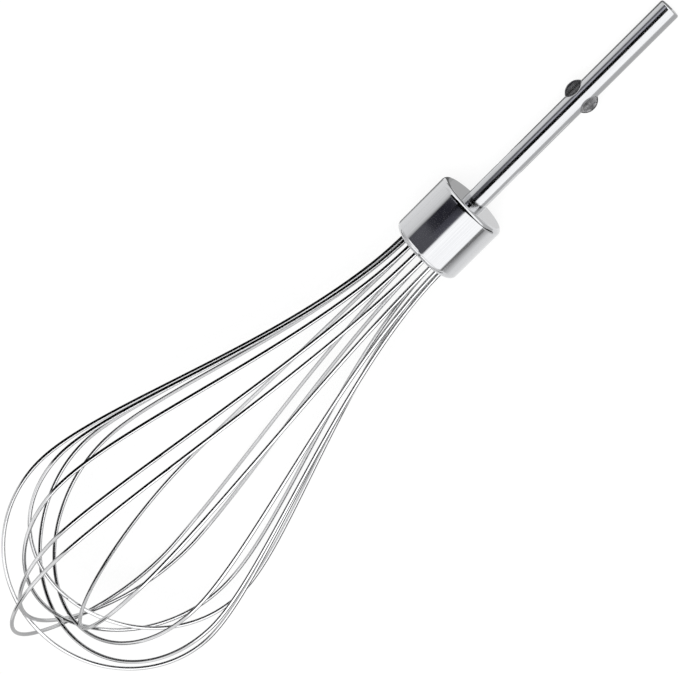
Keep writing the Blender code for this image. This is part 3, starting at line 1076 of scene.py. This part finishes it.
# %% [markdown]
# ## Cards beside the spindle and the collar
# From its left, the spindle shows a light band, a grey, a dark and a black one, then the white softbox and
# a grey right border. The dome gives the white and the light; these cards stand 15 cm away and give the
# rest. They end just before the collar's wall would mirror them. The grey band darkens towards the collar,
# so it is four shorter cards of falling level. The low card darkens the last millimetres of the collar's
# wall.

# %% Upright cards
CARDS_START = -0.02  # stations, from the spindle's tip
CARDS_END = 0.1055  # further on, the collar's wall would mirror them
LEFT_LIGHT, LEFT_DARK, LEFT_GREY = -64, -47, -31
GREY_CARDS = (  # start, end and level
    (CARDS_START, 0.082, 0.62),
    (0.082, 0.089, 0.42),
    (0.089, 0.096, 0.27),
    (0.096, CARDS_END, 0.14),
)

beside_spindle = upright_rims(CARDS_START, CARDS_END)
curved_card("spindle_black", CARD_BLACK, (LEFT_GREY, 1.0), beside_spindle)
curved_card("spindle_dark", grey(0.17, 0.10), (LEFT_LIGHT, LEFT_DARK), beside_spindle)
for index, (start, end, level) in enumerate(GREY_CARDS):
    name = f"spindle_grey_{index + 1}"
    curved_card(name, grey(level, 0.10), (LEFT_DARK, LEFT_GREY), upright_rims(start, end))
curved_card("spindle_right", grey(0.70), (72, 100), beside_spindle)
curved_card("collar_low", grey(0.13, 0.12), (-61.5, -1.5), upright_rims(0.1187, 0.129))
print("upright cards:", 4 + len(GREY_CARDS))

# %% [markdown]
# ## The flag for the collar's top edge
# The collar's rounded edge turns through a quarter circle in 1.5 mm, so it mirrors everything from the
# table to the camera's side. The photograph shows a black line along it, thick on the left, thin in front
# of the spindle and thicker again in a wedge on the right. Each spot on the edge mirrors one direction
# only. So the line is given as what it is on the steel: where it starts and ends on the rounding, at a few
# places round the collar. The flag is then the patch that those spots mirror, in a plane across the axis
# 3 mm behind the collar's top.

# %% Rim flag
FLAG_STATION = SHAFT_REACH - 3.0 * MM
FLAG_COLUMNS = 62
FLAG_ROWS = 10
LEAST_SLANT = 0.006  # a ray that runs back less than this would meet the flag's plane metres away
BLACK_LINE = (  # degrees: round the collar from its front, then the line's start and end on the edge
    (-33, 66, 84),
    (-30, 63, 84),
    (-18, 56, 84),
    (-4, 56, 84),
    (6, 60.5, 81.5),
    (18, 67, 78),
    (30, 72, 80),
    (36, 73, 80),
    (42, 71, 82),
    (48, 64.5, 81.5),
    (54, 64.5, 80),
    (60, 65.5, 72.5),
)


def mirrored_spot(turn, rise):
    """Where a spot on the collar's rounded edge mirrors the flag's plane, as the camera sees it."""
    turn, rise = math.radians(turn), math.radians(rise)
    outwards = Vector((0.0, math.sin(turn), math.cos(turn)))
    normal = math.sin(rise) * outwards - Vector((math.cos(rise), 0.0, 0.0))
    spot = top_corner[1] * outwards + Vector((SHAFT_REACH + COLLAR_TOP_ROUNDING, 0.0, 0.0))
    spot += COLLAR_TOP_ROUNDING * normal
    ray = (spot - stance.translation).normalized().reflect(normal)
    return spot + ray * (FLAG_STATION - spot.x) / min(ray.x, -LEAST_SLANT)


turns, starts, ends = zip(*BLACK_LINE)
columns = np.linspace(turns[0], turns[-1], FLAG_COLUMNS)
line_starts, line_ends = np.interp(columns, turns, starts), np.interp(columns, turns, ends)
flag_points = [
    mirrored_spot(turn, start + share * (end - start))
    for share in np.linspace(0.0, 1.0, FLAG_ROWS)
    for turn, start, end in zip(columns, line_starts, line_ends)
]
flag_finish = card_finish("rim_flag", CARD_BLACK, one_sided=True)
hang_card("rim_flag", flag_points, grid_faces(FLAG_ROWS, FLAG_COLUMNS), flag_finish)
curved_card("rim_black", CARD_BLACK, (-35, -13), upright_rims(CARDS_END, 0.1066))
nearest = min(spot.yz.length for spot in flag_points)
print("rim flag:", len(flag_points), "points, no nearer than", round(nearest / MM, 1), "mm to the axis")

# %% [markdown]
# ## Cards for the wires
# A bright wire on a white ground is only seen by its edges: black on the left, grey on the right, and a
# clear white between them. A cone of card round the whole balloon gives the three, and its front is
# brighter than the softbox, because a white line that is thinner than a pixel has to outshine its edges.
# The cone starts below the collar and is louvred, so neither the collar nor the spindle sees it. Near the
# collar the wires flare and look back along the axis, so three fans that lean with the flare go on with the
# same levels there. One more black fan does it for the bends at the balloon's end.

# %% Wire cards
FAR_LEFT, FAR_RIGHT = -150, 150
WIRE_CONE = ((0.116, 0.036), (0.36, 0.17))
WIRE_LOUVRE = (0.46, 0.52)
FAN_REACH = 1.5
NECK_STATION = 0.0976
NECK_RADIUS = 0.0095
NECK_SLOPE = 0.35
END_STATION = 0.185
END_RADIUS = 0.045
WIRE_STEPS = 24


def fan_rims(station, radius, slope=0.0):
    """The two rims of a fan, which stands across the axis or leans forwards by a slope."""
    return ((station, radius), (station + slope * (FAN_REACH - radius), FAN_REACH))


for side_name, level, angles, rear_angles in (
    ("left", CARD_BLACK, (FAR_LEFT, -1), (FAR_LEFT, 9)),
    ("front", grey(2.3), (-1, 66), (9, 66)),
    ("right", grey(0.07), (66, FAR_RIGHT), (66, FAR_RIGHT)),
):
    curved_card(f"wires_{side_name}", level, angles, WIRE_CONE, WIRE_STEPS, louvre=WIRE_LOUVRE)
    rims = fan_rims(NECK_STATION, NECK_RADIUS, NECK_SLOPE)
    curved_card(f"wires_rear_{side_name}", level, rear_angles, rims, WIRE_STEPS, one_sided=True)
rims = fan_rims(END_STATION, END_RADIUS)
curved_card("end_rear_left", CARD_BLACK, (FAR_LEFT, 8), rims, WIRE_STEPS, one_sided=True)
print("wire cards: a cone and a fan for each of three sides, and one for the end")

# %% [markdown]
# ## Cards on the table
# The outer edges of every round piece mirror the table, which is white. That white would make the edges
# vanish into the background, so cards on the table give them their greys: a dark line at the spindle's
# left, an even grey at its right, and on the collar's right a border that darkens outwards, in seven
# strips. The dark cards at the spindle's left and end, and the collar's edge and left cards, are painted
# shadow: they stand in for the table's shade close to the whisk, as the steel mirrors it. The collar's flat
# top leans away from the camera and mirrors a small part of the table just behind it, grey on the left as
# painted shadow, and nearly white on the right. The spindle's strips on the right leave a gap that shows as
# a bright spot above the collar.

# %% Table cards beside the spindle
TABLE_LIFT = 0.2 * MM
TABLE_START = -0.05
SIGHT_START = 0.0775
SIGHT_SLOPE = 0.195
RIGHT_LEVELS = (0.65, 0.65, 0.65, 0.42, 0.12)


def table_card(name, level, outline):
    """A flat card on the table: its outline is (station, sideways) on the whisk's axes, put on the table."""
    points = []
    for station, side in outline:
        spot = PLACE @ Vector((station, side, 0.0))
        points.append((spot.x, spot.y, TABLE_LIFT))
    finish = card_finish(name, grey(level))
    hang_card(name, points, [tuple(range(len(points)))], finish, placed=False)


def sight_line(side):
    """Where, at this distance to the right, the spindle's last part sees the table and the collar doesn't."""
    return SIGHT_START + SIGHT_SLOPE * side


beside_collar = [(0.066, 0.0175), (0.067, 0.030), (sight_line(0.030), 0.030), (sight_line(0.15), 0.15)]
outlines = [
    [(TABLE_START, 0.0), (0.064, 0.0), (0.066, 0.0105), (TABLE_START, 0.0105)],
    [(TABLE_START, 0.0105), (0.044, 0.0105), (0.046, 0.0175), (TABLE_START, 0.0175)],
    [(TABLE_START, 0.0175), *beside_collar, (TABLE_START, 0.15)],
]
for near, far in ((0.15, 0.30), (0.30, 2.0)):
    edge = [(sight_line(near), near), (sight_line(far), far)]
    outlines.append([(TABLE_START, near), *edge, (TABLE_START, far)])
left_outline = [(-0.03, 0.0), (-0.03, -0.012), (0.064, -0.036), (0.064, 0.0)]
end_outline = [(0.064, -0.0145), (0.064, -0.022), (0.080, -0.022), (0.088, -0.0145)]
# painted shadow: these two cards stand in for the table's shade beside and under the spindle
table_card("table_spindle_left", 0.22, left_outline)
table_card("table_spindle_end", 0.15, end_outline)
for index, (level, outline) in enumerate(zip(RIGHT_LEVELS, outlines)):
    table_card(f"table_spindle_right_{index + 1}", level, outline)
print("table cards beside the spindle:", 2 + len(outlines))

# %% Table cards for the collar and the wires
COLLAR_SIGHT = 0.022  # the length of table, along the axis, that the collar's right side mirrors


def strip(back, front, near, far):
    """A four-sided outline between two stations and two distances to the side."""
    return [(back, near), (front, near), (front, far), (back, far)]


COLLAR_STRIPS = (  # near side, far side and level
    (0.030, 0.045, 1.05),
    (0.045, 0.058, 0.98),
    (0.058, 0.075, 0.85),
    (0.075, 0.100, 0.75),
    (0.100, 0.160, 0.62),
    (0.160, 0.300, 0.47),
    (0.300, 2.0, 0.36),
)
for index, (near, far, level) in enumerate(COLLAR_STRIPS):
    back, front = sight_line(near), sight_line(far)
    outline = [(back, near), (back + COLLAR_SIGHT, near), (front + COLLAR_SIGHT, far), (front, far)]
    table_card(f"table_collar_right_{index + 1}", level, outline)
for name, level, outline in (
    # painted shadow: the collar's edge and left cards and the top's left and edge cards stand in for the
    # table's shade beside and under the collar
    ("collar_edge", 0.12, strip(0.081, 0.108, -0.0245, -0.008)),
    ("collar_left", 0.50, strip(0.081, 0.108, -0.034, -0.0245)),
    ("top_left", 0.50, strip(0.070, 0.079, -0.0125, -0.003)),
    ("top_edge", 0.42, strip(0.070, 0.079, -0.0145, -0.0125)),
    ("top_right", 0.83, strip(0.0735, 0.0797, 0.0005, 0.0085)),
    ("wires_left", 0.08, strip(0.160, 0.280, -0.15, -0.060)),
    ("wires_right", 0.20, strip(0.160, 0.280, 0.060, 0.15)),
    ("end", 0.64, [(0.245, -0.05), (0.245, 0.05), (0.50, 0.20), (0.50, -0.20)]),
):
    table_card(f"table_{name}", level, outline)
print("table cards for the collar:", len(COLLAR_STRIPS), "strips on its right")

# %% Colour management
bpy.context.scene.view_settings.view_transform = "Standard"
